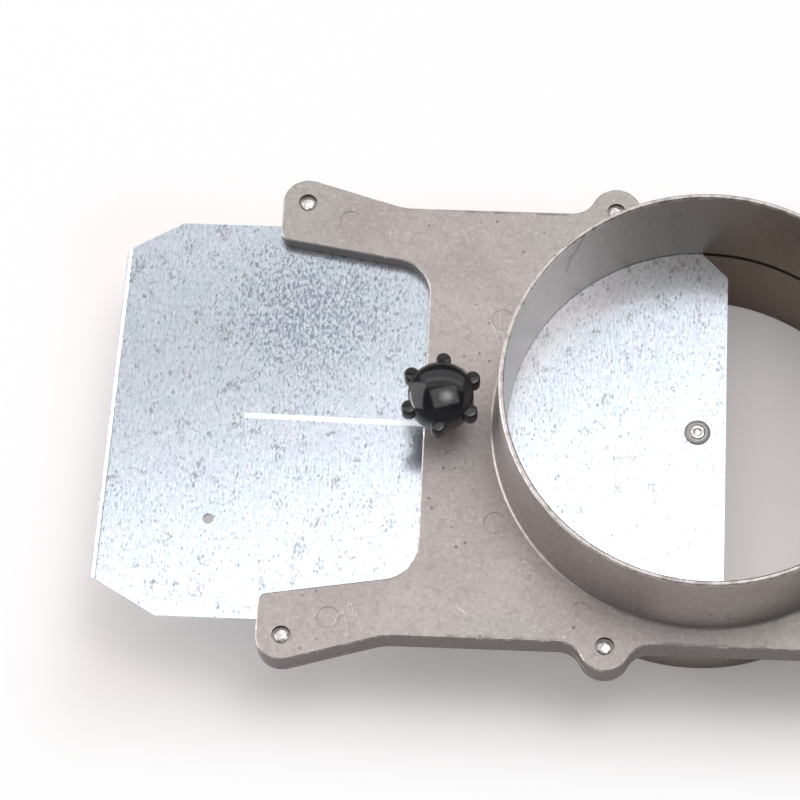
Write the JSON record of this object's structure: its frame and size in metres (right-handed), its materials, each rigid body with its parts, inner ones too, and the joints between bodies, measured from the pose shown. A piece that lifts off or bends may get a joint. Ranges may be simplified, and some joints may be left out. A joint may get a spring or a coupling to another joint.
{
  "type": "blast gate",
  "caption": "Sliding shut-off gate for round ducting: riveted cast halves with two collars, a sheet metal gate between them and a star knob on a stud that locks it.",
  "frame": {"origin": "on the duct's axis, at the rim of the lower collar, which the part stands on", "axes": "+Z along the duct's axis towards the upper collar, where the lock knob is; +X the way the gate moves when it closes, away from its finger lip; +Y completes the right-handed set"},
  "size_m": [0.2079, 0.126, 0.0632],
  "materials": {
    "cast_aluminium": "as-cast, matte",
    "galvanised_steel": "galvanised, fine spangle",
    "rivet_metal": "bright",
    "zinc_plated_steel": "zinc plated",
    "black_plastic": "glossy black"
  },
  "bodies": {
    "housing": {"upper_casting": "cast_aluminium", "lower_casting": "cast_aluminium", "body_rivet_1": "rivet_metal", "body_rivet_2": "rivet_metal", "body_rivet_3": "rivet_metal", "body_rivet_4": "rivet_metal", "body_rivet_5": "rivet_metal", "body_rivet_6": "rivet_metal"},
    "gate": {"gate_plate": "galvanised_steel", "stop_rivet": "rivet_metal", "stop_rivet_mandrel": "rivet_metal"},
    "stud": {"lock_stud": "zinc_plated_steel"},
    "knob": {"lock_knob": "black_plastic"}
  },
  "joints": [
    {"name": "gate_slide", "type": "slide", "parent": "housing", "child": "gate", "axis": [1, 0, 0], "range_m": [-0.0432, 0.0462]},
    {"name": "stud_lift", "type": "slide", "parent": "housing", "child": "stud", "axis": [0, 0, 1], "range_m": [0, 0.003]},
    {"name": "knob_turn", "type": "hinge", "parent": "stud", "child": "knob", "pos_m": [-0.0639, 0, 0.0433], "axis": [0, 0, 1], "range_deg": [0, 1080]}
  ],
  "couplings": [
    {"joint": "knob_turn", "follows": "stud_lift", "rad_per_m": 6283.2}
  ]
}
